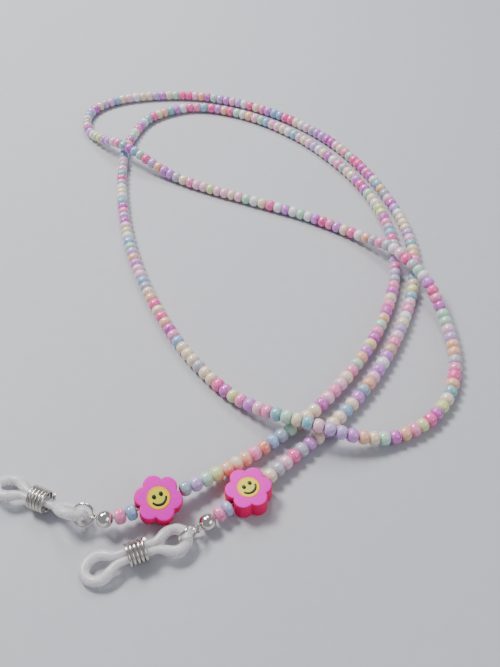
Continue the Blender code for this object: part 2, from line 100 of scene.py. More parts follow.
ENDS = {
    "left": {
        "flower": (-0.01705, 0.06240),
        "thread_heading": 207.8,
        "tilt": 17.0,
        "tail_curvature": -59.0,
        "link_heading": 169.0,
        "loop_heading": 157.0,
        "small_roll": 52.0,
        "eye_roll": 20.0,
        "accents": (("blue", 1.9 * MM, "#7FA9CF"), ("pink", 2.0 * MM, "#F284B4")),
        "face_turn": 30.0,
    },
    "right": {
        "flower": (-0.00030, 0.06480),
        "thread_heading": 220.4,
        "tilt": 0.0,
        "tail_curvature": -11.0,
        "link_heading": 217.0,
        "loop_heading": 200.5,
        "small_roll": 0.0,
        "eye_roll": 0.0,
        "accents": (("lavender", 1.65 * MM, "#B4B2E0"), ("pink", 1.7 * MM, "#F284B4")),
        "face_turn": 39.0,
    },
}
CROSSING_LIFT = 3.35 * MM
ROUTE = (
    (-0.0085, 0.0672, 0.33),
    (0.0024, 0.0749, 0),
    (0.0140, 0.0848, 0),
    (0.0243, 0.0978, 0),
    (0.0319, 0.1118, 0),
    (0.0368, 0.1274, 0),
    (0.0379, 0.1444, 0),
    (0.0343, 0.1614, 0),
    (0.0270, 0.1768, 0),
    (0.0142, 0.1940, 0),
    (-0.0030, 0.2070, 0),
    (-0.0194, 0.2114, 0),
    (-0.0326, 0.2048, 0),
    (-0.0382, 0.1900, 0),
    (-0.0386, 0.1760, 0),
    (-0.0364, 0.1580, 0),
    (-0.0316, 0.1376, 0),
    (-0.0246, 0.1192, 0),
    (-0.0146, 0.1009, 0),
    (-0.0046, 0.0889, 0.06),
    (0.0024, 0.0834, 0.5),
    (0.0086, 0.0799, 1),
    (0.0148, 0.0777, 1),
    (0.0220, 0.0766, 0.5),
    (0.0290, 0.0775, 0.03),
    (0.0356, 0.0806, 0),
    (0.0410, 0.0858, 0),
    (0.0446, 0.0928, 0),
    (0.0463, 0.1006, 0),
    (0.0457, 0.1120, 0.3),
    (0.0433, 0.1208, 0.95),
    (0.0402, 0.1274, 1.05),
    (0.0366, 0.1333, 1.02),
    (0.0320, 0.1390, 0.45),
    (0.0260, 0.1446, 0.03),
    (0.0156, 0.1513, 0),
    (0.0008, 0.1583, 0),
    (-0.0134, 0.1650, 0),
    (-0.0224, 0.1701, 0.08),
    (-0.0292, 0.1747, 0.5),
    (-0.0352, 0.1790, 1),
    (-0.0408, 0.1835, 1),
    (-0.0464, 0.1888, 0.45),
    (-0.0516, 0.1954, 0.04),
    (-0.0539, 0.2028, 0),
    (-0.0523, 0.2102, 0),
    (-0.0468, 0.2156, 0),
    (-0.0385, 0.2186, 0),
    (-0.0285, 0.2198, 0),
    (-0.0178, 0.2192, 0),
    (-0.0016, 0.2134, 0),
    (0.0134, 0.2032, 0),
    (0.0258, 0.1894, 0),
    (0.0344, 0.1738, 0),
    (0.0396, 0.1590, 0),
    (0.0423, 0.1460, 0),
    (0.0425, 0.1320, 0),
    (0.0395, 0.1188, 0),
    (0.0343, 0.1060, 0),
    (0.0266, 0.0926, 0),
    (0.0170, 0.0807, 0),
    (0.0092, 0.0735, 0.05),
)
MIDDLE = Vector((-0.00378, 0.13414, 0))

# ---------------------------------------------------------------- where things lie


def heading_vector(degrees):
    angle = math.radians(degrees)
    return Vector((math.cos(angle), math.sin(angle), 0))


def axes(origin, x_axis, z_axis):
    """The matrix at origin with local X along x_axis and local Z as near z_axis as it can be."""
    x_axis = x_axis.normalized()
    y_axis = z_axis.cross(x_axis).normalized()
    z_axis = x_axis.cross(y_axis)
    return Matrix.Translation(origin) @ Matrix((x_axis, y_axis, z_axis)).transposed().to_4x4()


def along_x(matrix):
    """The same place with local Z turned on to what was local X, for pieces with a bore."""
    return matrix @ Matrix.Rotation(math.pi / 2, 4, "Y")


def flower_middle(end):
    tilt = math.radians(end["tilt"])
    height = FLOWER_THICK / 2 * math.cos(tilt) + FLOWER_ACROSS / 2 * math.sin(tilt)
    return Vector((*end["flower"], height)) - MIDDLE


def cover_distance(end):
    beads = sum(length for _, length, _ in end["accents"])
    return FLOWER_REACH + beads + 3 * ACCENT_GAP + COVER_R


def flower_matrix(end):
    """Origin in the flower's middle, X out along the thread, Z out of its face."""
    level = axes(flower_middle(end), heading_vector(end["thread_heading"]), UP)
    return level @ Matrix.Rotation(-math.radians(end["tilt"]), 4, "X")


def tail_matrix(end, distance):
    """A place on the thread this far out from the flower's middle: X outwards, Z up."""
    outward = heading_vector(end["thread_heading"])
    turn = max(distance - FLOWER_REACH, 0) * end["tail_curvature"]
    reach = math.sin(turn) / end["tail_curvature"]
    drift = (1 - math.cos(turn)) / end["tail_curvature"]
    straight = min(distance, FLOWER_REACH) + reach
    place = flower_middle(end) + outward * straight + UP.cross(outward) * drift
    return axes(place, heading_vector(end["thread_heading"] + math.degrees(turn)), UP)


def link_matrix(end):
    """Origin in the crimp cover's middle, X out to the ring, Y across the guard's flat side."""
    middle = tail_matrix(end, cover_distance(end)).translation
    level = axes(middle, heading_vector(end["link_heading"]), UP)
    return level @ Matrix.Rotation(math.radians(end["small_roll"]), 4, "X")


def ring_centre(end):
    """The ring hangs in the guard, or stands on the table where the guard lies lower."""
    link = link_matrix(end)
    guard = link @ Vector((RING_FROM_COVER, 0, 0))
    outward = link.to_3x3() @ Vector((1, 0, 0))
    lowest = (RING_R + RING_WIRE_R) * abs((link.to_3x3() @ UP).z) + REST_GAP
    rise = max(lowest - guard.z, 0)
    return guard + outward * math.sqrt(RING_R**2 - rise**2) + UP * rise


def loop_matrix(end):
    """Origin on the table under the small lobe's tip, X out along the loop, Z up."""
    tip = link_matrix(end) @ Vector((LOOP_FROM_COVER, 0, 0))
    tip.z = 0
    return axes(tip, heading_vector(end["loop_heading"]), UP)


def smooth_line(points, steps):
    """A centripetal Catmull-Rom curve through all points but the first and the last."""
    line = []
    for before, start, stop, after in zip(points, points[1:], points[2:], points[3:]):
        a = math.sqrt((start - before).length)
        b = math.sqrt((stop - start).length)
        c = math.sqrt((after - stop).length)
        leave = (stop - start) + b * ((start - before) / a - (stop - before) / (a + b))
        arrive = (stop - start) + b * ((after - stop) / c - (after - start) / (b + c))
        for step in range(steps):
            t = step / steps
            line.append(
                (2 * t**3 - 3 * t**2 + 1) * start
                + (t**3 - 2 * t**2 + t) * leave
                + (3 * t**2 - 2 * t**3) * stop
                + (t**3 - t**2) * arrive
            )
    return line + [points[-2]]


def strand_line():
    """The wire's centreline between the two flowers, as closely spaced points."""
    start = -FLOWER_REACH - START_GAP
    left, right = ENDS["left"], ENDS["right"]
    points = [tail_matrix(left, 0).translation, tail_matrix(left, start).translation]
    for x, y, lift in ROUTE:
        points.append(Vector((x, y, BEAD_R + lift * CROSSING_LIFT)) - MIDDLE)
    points += [tail_matrix(right, start).translation, tail_matrix(right, 0).translation]
    line = smooth_line(points, 16)
    for point in line:
        point.z = max(point.z, BEAD_R)
    return line


def distances_along(line):
    """How far each point of a line is from its first."""
    found = [0.0]
    for start, stop in zip(line, line[1:]):
        found.append(found[-1] + (stop - start).length)
    return found


# ---------------------------------------------------------------- camera, floor and light


def look():
    """A camera that looks down at the strap from beyond its two ends."""
    camera = bpy.data.cameras.new("camera")
    camera.lens = 36.2
    camera.sensor_width = 36
    camera.clip_start = 0.01
    stand = bpy.data.objects.new("camera", camera)
    stand.location = (0.00378, -0.13414, 0.1157)
    stand.rotation_euler = (math.radians(43), 0, 0)
    bpy.context.scene.collection.objects.link(stand)
    bpy.context.scene.camera = stand


def area_light(name, place, target, size, power, colour):
    light = bpy.data.lights.new(name, "AREA")
    light.shape = "RECTANGLE"
    light.size = size[0]
    light.size_y = size[1]
    light.energy = power
    light.color = colour
    lamp = bpy.data.objects.new(name, light)
    lamp.location = place
    lamp.rotation_euler = (Vector(target) - Vector(place)).to_track_quat("-Z", "Y").to_euler()
    bpy.context.scene.collection.objects.link(lamp)


def light_studio():
    """One broad window-like light from the upper left, a weak fill, and a pale surround."""
    area_light("window", (-0.32, 0.22, 0.52), (0, 0, 0), (0.2, 0.17), 5.4, (1.0, 0.985, 0.96))
    area_light("second_window", (-0.02, 0.42, 0.46), (0, 0, 0), (0.16, 0.22), 1.6, (0.95, 0.97, 1.0))
    area_light("fill", (0.45, -0.25, 0.35), (0, 0, 0), (0.4, 0.3), 1.0, (0.92, 0.95, 1.0))
    world = bpy.data.worlds.new("pale_surround")
    world.use_nodes = True
    world.node_tree.nodes["Background"].inputs["Color"].default_value = hex_colour("#C9CCD4")
    world.node_tree.nodes["Background"].inputs["Strength"].default_value = 0.5
    bpy.context.scene.world = world


# ---------------------------------------------------------------- materials


def hex_colour(text):
    """An sRGB hex value as linear red, green, blue and alpha."""
    values = [int(text[i : i + 2], 16) / 255 for i in (1, 3, 5)]
    linear = [v / 12.92 if v <= 0.04045 else ((v + 0.055) / 1.055) ** 2.4 for v in values]
    return (*linear, 1.0)


def add_node(tree, kind, settings=None, inputs=None):
    """Adds a node. A setting is one of its own; an input is a value or another node's output."""
    node = tree.nodes.new(kind)
    for name, value in (settings or {}).items():
        setattr(node, name, value)
    for name, value in (inputs or {}).items():
        if isinstance(value, bpy.types.NodeSocket):
            tree.links.new(value, node.inputs[name])
        else:
            node.inputs[name].default_value = value
    return node


def new_material(name):
    """A material with only a Principled shader on its output: its tree and that shader."""
    material = bpy.data.materials.new(name)
    material.use_nodes = True
    return material, material.node_tree, material.node_tree.nodes["Principled BSDF"]


def set_shader(tree, shader, values):
    for name, value in values.items():
        if isinstance(value, bpy.types.NodeSocket):
            tree.links.new(value, shader.inputs[name])
        else:
            shader.inputs[name].default_value = value


def noise_at(tree, size, detail=3.0, roughness=0.5, distortion=0.0):
    """Noise whose blotches are about this size, in metres, on Object coordinates."""
    place = add_node(tree, "ShaderNodeTexCoord")
    inputs = {
        "Vector": place.outputs["Object"],
        "Scale": 1 / size,
        "Detail": detail,
        "Roughness": roughness,
        "Distortion": distortion,
    }
    return add_node(tree, "ShaderNodeTexNoise", {}, inputs).outputs["Fac"]


def spread(tree, value, low, high):
    """Noise's middle stretch, mapped to run from low to high."""
    inputs = {"Value": value, "From Min": 0.3, "From Max": 0.7, "To Min": low, "To Max": high}
    return add_node(tree, "ShaderNodeMapRange", {}, inputs).outputs["Result"]


def bump(tree, height, depth, strength=1.0):
    inputs = {"Height": height, "Distance": depth, "Strength": strength}
    return add_node(tree, "ShaderNodeBump", {}, inputs).outputs["Normal"]


def pearl_glass():
    """Opaque pearl seed glass, pressed and tumbled. The eye sees a milky body colour under a
    clear gloss, cloudy patches under a millimetre across, and a soft lustre at the edges."""
    material, tree, shader = new_material("pearl_seed_glass")
    colour = add_node(tree, "ShaderNodeAttribute", {"attribute_name": "bead_colour"})
    cloud = spread(tree, noise_at(tree, 0.9 * MM), 0.0, 0.3)
    inputs = {"Saturation": 1.12, "Value": 1.0, "Color": colour.outputs["Color"]}
    glass = add_node(tree, "ShaderNodeHueSaturation", {}, inputs)
    milky = add_node(
        tree,
        "ShaderNodeMix",
        {"data_type": "RGBA"},
        {0: cloud, 6: glass.outputs["Color"], 7: hex_colour("#F4EEF2")},
    )
    set_shader(tree, shader, {
        "Base Color": milky.outputs[2],
        "Roughness": spread(tree, noise_at(tree, 0.5 * MM), 0.12, 0.22),
        "IOR": 1.52,
        "Subsurface Weight": 0.12,
        "Subsurface Radius": (0.8 * MM, 0.6 * MM, 0.6 * MM),
        "Subsurface Scale": 1.0,
        "Coat Weight": 1.0,
        "Coat Roughness": 0.04,
        "Sheen Weight": 0.12,
        "Sheen Roughness": 0.35,
        "Sheen Tint": hex_colour("#F3E9FF"),
        "Normal": bump(tree, noise_at(tree, 0.7 * MM, 1.0), 0.03 * MM),
    })
    return material


def petal_clay(name, hex_value):
    """Baked polymer clay, sliced from a cane. The eye sees a strong flat colour, satin, with a
    faint drag from the blade and pinprick unevenness."""
    material, tree, shader = new_material(name)
    base = add_node(
        tree,
        "ShaderNodeMix",
        {"data_type": "RGBA"},
        {
            0: spread(tree, noise_at(tree, 0.6 * MM, 4.0), 0.0, 0.2),
            6: hex_colour(hex_value),
            7: hex_colour("#D8008C"),
        },
    )
    drag = noise_at(tree, 0.25 * MM, 4.0, 0.6)
    set_shader(tree, shader, {
        "Base Color": base.outputs[2],
        "Roughness": spread(tree, noise_at(tree, 0.8 * MM), 0.5, 0.64),
        "IOR": 1.45,
        "Specular IOR Level": 0.25,
        "Normal": bump(tree, drag, 0.035 * MM),
    })
    return material


def face_clay():
    """The cane's yellow core in its peach skin, whose colours run into each other a little."""
    material, tree, shader = new_material("yellow_cane_clay")
    share = add_node(tree, "ShaderNodeAttribute", {"attribute_name": "from_middle"})
    wander = spread(tree, noise_at(tree, 0.5 * MM), -0.03, 0.03)
    place = add_node(
        tree, "ShaderNodeMath", {"operation": "ADD"}, {0: share.outputs["Fac"], 1: wander}
    )
    ramp = add_node(tree, "ShaderNodeValToRGB", {}, {"Fac": place.outputs[0]})
    stops = (
        (0.0, "#C9CF3A"),
        (0.45, "#E0DA2E"),
        (0.68, "#FBDD16"),
        (0.84, "#FBCB1E"),
        (0.95, "#F58A3C"),
    )
    elements = ramp.color_ramp.elements
    while len(elements) < len(stops):
        elements.new(0.5)
    for element, (position, hex_value) in zip(elements, stops):
        element.position = position
        element.color = hex_colour(hex_value)
    set_shader(tree, shader, {
        "Base Color": ramp.outputs["Color"],
        "Roughness": spread(tree, noise_at(tree, 0.8 * MM), 0.40, 0.55),
        "IOR": 1.5,
        "Normal": bump(tree, noise_at(tree, 0.25 * MM, 4.0, 0.6), 0.03 * MM),
    })
    return material


def black_clay():
    """Black polymer clay threads in the cane: satin, and never quite black."""
    material, tree, shader = new_material("black_cane_clay")
    set_shader(tree, shader, {
        "Base Color": hex_colour("#17130F"),
        "Roughness": spread(tree, noise_at(tree, 0.3 * MM), 0.35, 0.5),
        "IOR": 1.5,
    })
    return material


def silver_plate():
    """Polished silver plate on brass. The eye sees sharp reflections, slightly warm, with a
    faint orange peel and handling haze."""
    material, tree, shader = new_material("polished_silver_plate")
    set_shader(tree, shader, {
        "Base Color": hex_colour("#E9E4DC"),
        "Metallic": 1.0,
        "Roughness": spread(tree, noise_at(tree, 0.9 * MM), 0.07, 0.17),
        "Normal": bump(tree, noise_at(tree, 0.6 * MM, 1.0), 0.02 * MM),
    })
    return material


def spring_wire():
    """Nickel-plated drawn wire. Its draw lines are finer than shows, so they are drawn coarser."""
    material, tree, shader = new_material("nickel_plated_spring_wire")
    set_shader(tree, shader, {
        "Base Color": hex_colour("#D9D5CC"),
        "Metallic": 1.0,
        "Roughness": spread(tree, noise_at(tree, 0.35 * MM, 4.0), 0.12, 0.26),
        "Normal": bump(tree, noise_at(tree, 0.2 * MM, 2.0), 0.01 * MM),
    })
    return material


def coated_wire():
    """Stranded steel wire under clear nylon: dull steel with a plastic gloss over it."""
    material, tree, shader = new_material("nylon_coated_steel_wire")
    set_shader(tree, shader, {
        "Base Color": hex_colour("#B9BABD"),
        "Metallic": 0.7,
        "Roughness": spread(tree, noise_at(tree, 0.3 * MM), 0.3, 0.45),
        "Coat Weight": 0.6,
        "Coat Roughness": 0.15,
    })
    return material


def silicone():
    """Moulded translucent silicone. The eye sees a milky white that light soaks into, a soft
    gloss, and fine dust held on a slightly tacky skin."""
    material, tree, shader = new_material("translucent_moulded_silicone")
    dust = spread(tree, noise_at(tree, 0.9 * MM, 4.0, 0.6), 0.0, 0.12)
    base = add_node(
        tree,
        "ShaderNodeMix",
        {"data_type": "RGBA"},
        {0: dust, 6: hex_colour("#F8F4F7"), 7: hex_colour("#DEDADF")},
    )
    set_shader(tree, shader, {
        "Base Color": base.outputs[2],
        "Roughness": spread(tree, noise_at(tree, 1.6 * MM), 0.24, 0.32),
        "IOR": 1.41,
        "Transmission Weight": 0.42,
        "Subsurface Weight": 0.5,
        "Subsurface Radius": (1.8 * MM, 1.7 * MM, 1.7 * MM),
        "Subsurface Scale": 1.0,
        "Coat Weight": 0.15,
        "Coat Roughness": 0.2,
        "Normal": bump(tree, noise_at(tree, 3 * MM, 1.0), 0.012 * MM),
    })
    return material


def pale_card():
    """The floor: smooth pale grey card."""
    material, tree, shader = new_material("pale_grey_card")
    base = add_node(
        tree,
        "ShaderNodeMix",
        {"data_type": "RGBA"},
        {0: noise_at(tree, 3 * MM, 4.0), 6: hex_colour("#B6B7BE"), 7: hex_colour("#BDBEC4")},
    )
    set_shader(tree, shader, {"Base Color": base.outputs[2], "Roughness": 0.6})
    return material


# ---------------------------------------------------------------- modelling helpers


def deselect_all():
    bpy.ops.object.select_all(action="DESELECT")


def work_on(obj):
    deselect_all()
    obj.select_set(True)
    bpy.context.view_layer.objects.active = obj


def edit(obj):
    work_on(obj)
    bpy.ops.object.mode_set(mode="EDIT")


def leave_edit():
    bpy.ops.object.mode_set(mode="OBJECT")


def pick(obj, kind, wanted):
    """In edit mode, selects only the verts, edges or faces that wanted() accepts."""
    bpy.ops.mesh.select_mode(type={"verts": "VERT", "edges": "EDGE", "faces": "FACE"}[kind])
    bpy.ops.mesh.select_all(action="DESELECT")
    mesh = bmesh.from_edit_mesh(obj.data)
    for part in getattr(mesh, kind):
        if wanted(part):
            part.select_set(True)
    bmesh.update_edit_mesh(obj.data)


def apply_modifiers(obj):
    work_on(obj)
    for modifier in list(obj.modifiers):
        bpy.ops.object.modifier_apply(modifier=modifier.name)


def settle(obj, matrix):
    """Puts a piece where it belongs and moves that place into its mesh."""
    obj.matrix_world = matrix
    work_on(obj)
    bpy.ops.object.transform_apply(location=True, rotation=True, scale=True)


def finish_piece(obj, name, body, material, stands_for=()):
    obj.name = name
    obj.data.name = name
    obj.data.materials.clear()
    obj.data.materials.append(material)
    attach(obj, body)
    if stands_for:
        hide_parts(*stands_for)
    return obj


def drawn_tube(points, radius, cyclic=False, shares=None, sides=4):
    """A wire or cord along points as a mesh, thick by radius times its share at each point."""
    curve = bpy.data.curves.new("tube", "CURVE")
    curve.dimensions = "3D"
    curve.bevel_depth = radius
    curve.bevel_resolution = sides
    curve.use_fill_caps = not cyclic
    line = curve.splines.new("POLY")
    line.points.add(len(points) - 1)
    for index, point in enumerate(points):
        line.points[index].co = (*point, 1)
        line.points[index].radius = shares[index] if shares else 1
    line.use_cyclic_u = cyclic
    tube = bpy.data.objects.new("tube", curve)
    bpy.context.scene.collection.objects.link(tube)
    work_on(tube)
    bpy.ops.object.convert(target="MESH")
    tube = bpy.context.object
    edit(tube)
    bpy.ops.mesh.select_all(action="SELECT")
    bpy.ops.mesh.remove_doubles(threshold=0.001 * MM)
    bpy.ops.mesh.normals_make_consistent(inside=False)
    leave_edit()
    bpy.ops.object.shade_smooth_by_angle(angle=math.radians(50))
    return tube


def bored_bead(length, radius, bore, rounding, sides, steps):
    """A glass bead on the Z axis: a short rod with a bore and rounded rims."""
    deselect_all()
    bpy.ops.mesh.primitive_cylinder_add(vertices=sides, radius=radius, depth=length)
    bead = bpy.context.object
    edit(bead)
    pick(bead, "faces", lambda face: abs(face.normal.z) > 0.9)
    bpy.ops.mesh.inset(thickness=radius * math.cos(math.pi / sides) - bore)
    bpy.ops.mesh.bridge_edge_loops()
    rim = length / 2 - 0.01 * MM
    outer = radius - 0.01 * MM
    pick(bead, "edges", lambda edge: all(
        abs(v.co.z) > rim and v.co.xy.length > outer for v in edge.verts
    ) and edge.verts[0].co.z * edge.verts[1].co.z > 0)
    bpy.ops.mesh.bevel(offset=rounding, segments=steps, affect="EDGES")
    bpy.ops.mesh.select_all(action="SELECT")
    bpy.ops.mesh.normals_make_consistent(inside=False)
    leave_edit()
    bpy.ops.object.shade_smooth()
    return bead


def paint(mesh, name, hex_value):
    """Gives every corner of a mesh one colour, in an attribute that its material reads."""
    attribute = mesh.color_attributes.get(name)
    if attribute is None:
        attribute = mesh.color_attributes.new(name, "FLOAT_COLOR", "POINT")
    attribute.data.foreach_set("color", list(hex_colour(hex_value)) * len(mesh.vertices))


# ---------------------------------------------------------------- the strand

GLASS = {
    "teal": "#7FBBC6",
    "blue": "#8DB6DE",
    "slate": "#93A9BC",
    "grey": "#B4B3C2",
    "lilac": "#C3A9E0",
    "orchid": "#D07FDF",
    "magenta": "#CF55C4",
    "rose": "#FF62AC",
    "pink": "#FB93C2",
    "blush": "#F8C2D8",
    "white": "#ECE9F0",
    "cream": "#F2DFC0",
    "peach": "#F9BC98",
    "salmon": "#F2937F",
    "mint": "#B4DFC4",
    "lime": "#DAE79C",
    "lemon": "#F4EAA6",
    "tan": "#D2B592",
}
# The stringing order where it shows: the point of ROUTE that a stretch starts at, and its beads
STRINGING = (
    (-1, """slate lilac mint lime peach cream peach pink salmon blue slate mint tan cream cream
        magenta blush pink blush cream pink mint peach orchid lemon magenta pink mint peach magenta
        pink cream magenta pink grey lilac pink lilac grey lilac grey rose"""),
    (12, """teal white orchid pink white mint magenta peach mint blue blue blush grey blush
        teal rose grey white lemon white teal magenta pink lilac magenta blush lime white blue mint
        lilac peach orchid blush blush blue grey cream peach rose cream rose peach magenta pink blue
        cream cream cream grey cream cream rose magenta lime pink orchid blush pink teal mint cream
        teal blush lilac lilac orchid peach cream mint magenta peach pink lime rose magenta lime
        cream teal peach rose pink grey peach peach lilac blush mint mint magenta pink rose orchid
        white mint grey rose blush white grey pink grey peach white rose cream orchid pink rose
        orchid white mint white orchid white rose cream white"""),
    (53, """pink magenta white teal peach slate blush magenta lilac white cream cream cream lilac
        blush teal cream peach pink magenta white blue cream lemon teal blush pink white cream lilac
        blush pink tan orchid white orchid blush peach slate"""),
)
SPARE_GLASS = (
    "teal blue lilac orchid magenta rose pink blush blush white cream cream peach mint lime grey"
)


def bead_colours(count, line_distances):
    """The colour name of each bead, in order from the left flower."""
    chance = random.Random(8)
    spare = SPARE_GLASS.split()
    names = [chance.choice(spare) for _ in range(count)]
    total = line_distances[-1]
    for point, beads in STRINGING:
        start = line_distances[16 * (point + 1)] / total * count
        for offset, name in enumerate(beads.split()):
            index = round(start) + offset
            if index < count:
                names[index] = name
    return names


def bead_lengths(total):
    """Beads of slightly different lengths that fill the strand exactly, end to end."""
    chance = random.Random(3)
    lengths = []
    while sum(lengths) < total - BEAD_LENGTH / 2:
        lengths.append(BEAD_LENGTH * chance.uniform(0.92, 1.1))
    return [length * total / sum(lengths) for length in lengths]


def seed_beads(line, material):
    """One piece for each run of the CAD model, made of separate beads on the wire."""
    distances = distances_along(line)
    lengths = bead_lengths(distances[-1])
    colours = bead_colours(len(lengths), distances)
    model = bored_bead(BEAD_LENGTH, BEAD_R, BORE_R, 0.9 * MM, 14, 3)
    paint(model.data, "bead_colour", "#FFFFFF")
    chance = random.Random(5)
    runs = [[] for _ in range(RUNS)]
    reached, index = 0.0, 0
    for length, colour in zip(lengths, colours):
        middle = reached + length / 2
        while index < len(line) - 2 and distances[index + 1] < middle:
            index += 1
        step = line[index + 1] - line[index]
        place = line[index] + step * ((middle - distances[index]) / step.length)
        before, after = line[max(index - 1, 0)], line[min(index + 2, len(line) - 1)]
        lean = Matrix.Rotation(math.radians(chance.gauss(0, 1.6)), 4, "Z")
        roll = Matrix.Rotation(chance.uniform(0, math.tau), 4, "X")
        slim = 1.02 - 0.05 * chance.random()
        size = Matrix.Diagonal((0.985 * length / BEAD_LENGTH, slim, slim, 1))
        bead = model.copy()
        bead.data = model.data.copy()
        paint(bead.data, "bead_colour", GLASS[colour])
        bead.data.transform(axes(place, after - before, UP) @ lean @ roll @ size @ along_x(Matrix()))
        bpy.context.scene.collection.objects.link(bead)
        runs[min(int(middle / distances[-1] * RUNS), RUNS - 1)].append(bead)
        reached += length
    bpy.data.objects.remove(model, do_unlink=True)
    made = []
    for number, beads in enumerate(runs, 1):
        work_on(beads[0])
        for bead in beads:
            bead.select_set(True)
        bpy.ops.object.join()
        node = f"bead_run_{number:02d}"
        name = f"seed_beads_{number:02d}"
        made.append(finish_piece(beads[0], name, "strand", material, [node]))
    return made


def beading_wire(line, material):
    """One wire from crimp to crimp, through the flowers and every bead."""
    tails = []
    for end in ENDS.values():
        long = cover_distance(end) + CRIMP_HALF - FLOWER_REACH
        stations = [FLOWER_REACH + long * step / 6 for step in range(7)]
        tails.append([tail_matrix(end, station).translation for station in stations])
    points = tails[0][::-1] + line[::2] + tails[1]
    curve = bpy.data.curves.new("wire", "CURVE")
    curve.dimensions = "3D"
    curve.bevel_depth = WIRE_R
    curve.bevel_resolution = 1
    curve.use_fill_caps = True
    spline = curve.splines.new("POLY")
    spline.points.add(len(points) - 1)
    for index, point in enumerate(points):
        spline.points[index].co = (*point, 1)
    wire = bpy.data.objects.new("wire", curve)
    bpy.context.scene.collection.objects.link(wire)
    finish_piece(wire, "beading_wire_coated", "strand", material, ["beading_wire"])


# ---------------------------------------------------------------- on the strand


def accent_beads(side, end, material):
    """The two beads between the flower and the crimp cover."""
    start = FLOWER_REACH + ACCENT_GAP
    for colour, length, hex_value in end["accents"]:
        bead = bored_bead(length + 0.1 * MM, BEAD_R, BORE_R, 0.8 * MM, 28, 5)
        paint(bead.data, "bead_colour", hex_value)
        settle(bead, along_x(tail_matrix(end, start + length / 2)))
        node = f"{colour}_bead_{side}"
        finish_piece(bead, f"{colour}_glass_{side}", "strand", material, [node])
        start += length + ACCENT_GAP


def petal_reach(angle):
    """How far the flower's outline is from its middle in this direction."""
    spacing = math.tau / PETALS
    off = (angle / spacing % 1 - 0.5) * spacing
    centre = FLOWER_ACROSS / 2 - PETAL_R
    return centre * math.cos(off) + math.sqrt(PETAL_R**2 - (centre * math.sin(off)) ** 2)


def cut_away(obj, radius, matrix):
    """Cuts a round hole right through a piece, along the local Z of matrix."""
    deselect_all()
    bpy.ops.mesh.primitive_cylinder_add(vertices=48, radius=radius, depth=3 * FLOWER_ACROSS)
    drill = bpy.context.object
    drill.matrix_world = matrix
    hole = obj.modifiers.new("hole", "BOOLEAN")
    hole.operation = "DIFFERENCE"
    hole.object = drill
    apply_modifiers(obj)
    bpy.data.objects.remove(drill, do_unlink=True)


def flower_petals(side, end, slice_material, skin_material):
    """A slice of a six-petalled clay cane: crisp rims, round petals, a bore for the thread."""
    deselect_all()
    bpy.ops.mesh.primitive_cylinder_add(vertices=PETALS * 20, radius=1, depth=FLOWER_THICK)
    petals = bpy.context.object
    edit(petals)
    mesh = bmesh.from_edit_mesh(petals.data)
    for vert in mesh.verts:
        angle = math.atan2(vert.co.y, vert.co.x)
        reach = petal_reach(angle)
        vert.co.x = reach * math.cos(angle)
        vert.co.y = reach * math.sin(angle)
    bmesh.update_edit_mesh(petals.data)
    pick(petals, "edges", lambda edge: edge.calc_face_angle(0) > 1.2 and abs(
        edge.verts[0].co.z - edge.verts[1].co.z) < 0.1 * MM)
    bpy.ops.mesh.bevel(offset=0.32 * MM, segments=4, affect="EDGES")
    leave_edit()
    cut_away(petals, FACE_R + 0.02 * MM, Matrix())
    cut_away(petals, THREAD_HOLE_R, along_x(Matrix()))
    bpy.ops.object.shade_smooth_by_angle(angle=math.radians(40))
    settle(petals, flower_matrix(end))
    name, body, node = f"clay_petals_{side}", f"flower_{side}", f"flower_petals_{side}"
    finish_piece(petals, name, body, slice_material, [node])
    petals.data.materials.append(skin_material)
    out_of_face = flower_matrix(end).to_3x3() @ UP
    for polygon in petals.data.polygons:
        polygon.material_index = 0 if abs(polygon.normal.dot(out_of_face)) > 0.8 else 1
    return petals


def flower_face(side, end, material):
    """The cane's round core. Rings of points across it carry its distance from the middle."""
    deselect_all()
    bpy.ops.mesh.primitive_cylinder_add(vertices=64, radius=FACE_R, depth=FLOWER_THICK + 0.06 * MM)
    disc = bpy.context.object
    edit(disc)
    pick(disc, "edges", lambda edge: edge.calc_face_angle(0) > 1.2)
    bpy.ops.mesh.bevel(offset=0.12 * MM, segments=3, affect="EDGES")
    pick(disc, "faces", lambda face: abs(face.normal.z) > 0.99 and face.calc_area() > FACE_R**2)
    for width in (0.12, 0.2, 0.35, 0.4, 0.5):
        bpy.ops.mesh.inset(thickness=width * MM)
    leave_edit()
    cut_away(disc, THREAD_HOLE_R, along_x(Matrix()))
    bpy.ops.object.shade_smooth_by_angle(angle=math.radians(35))
    share = disc.data.attributes.new("from_middle", "FLOAT", "POINT")
    share.data.foreach_set("value", [v.co.xy.length / FACE_R for v in disc.data.vertices])
    settle(disc, flower_matrix(end))
    name, body, node = f"clay_face_{side}", f"flower_{side}", f"flower_face_{side}"
    return finish_piece(disc, name, body, material, [node])


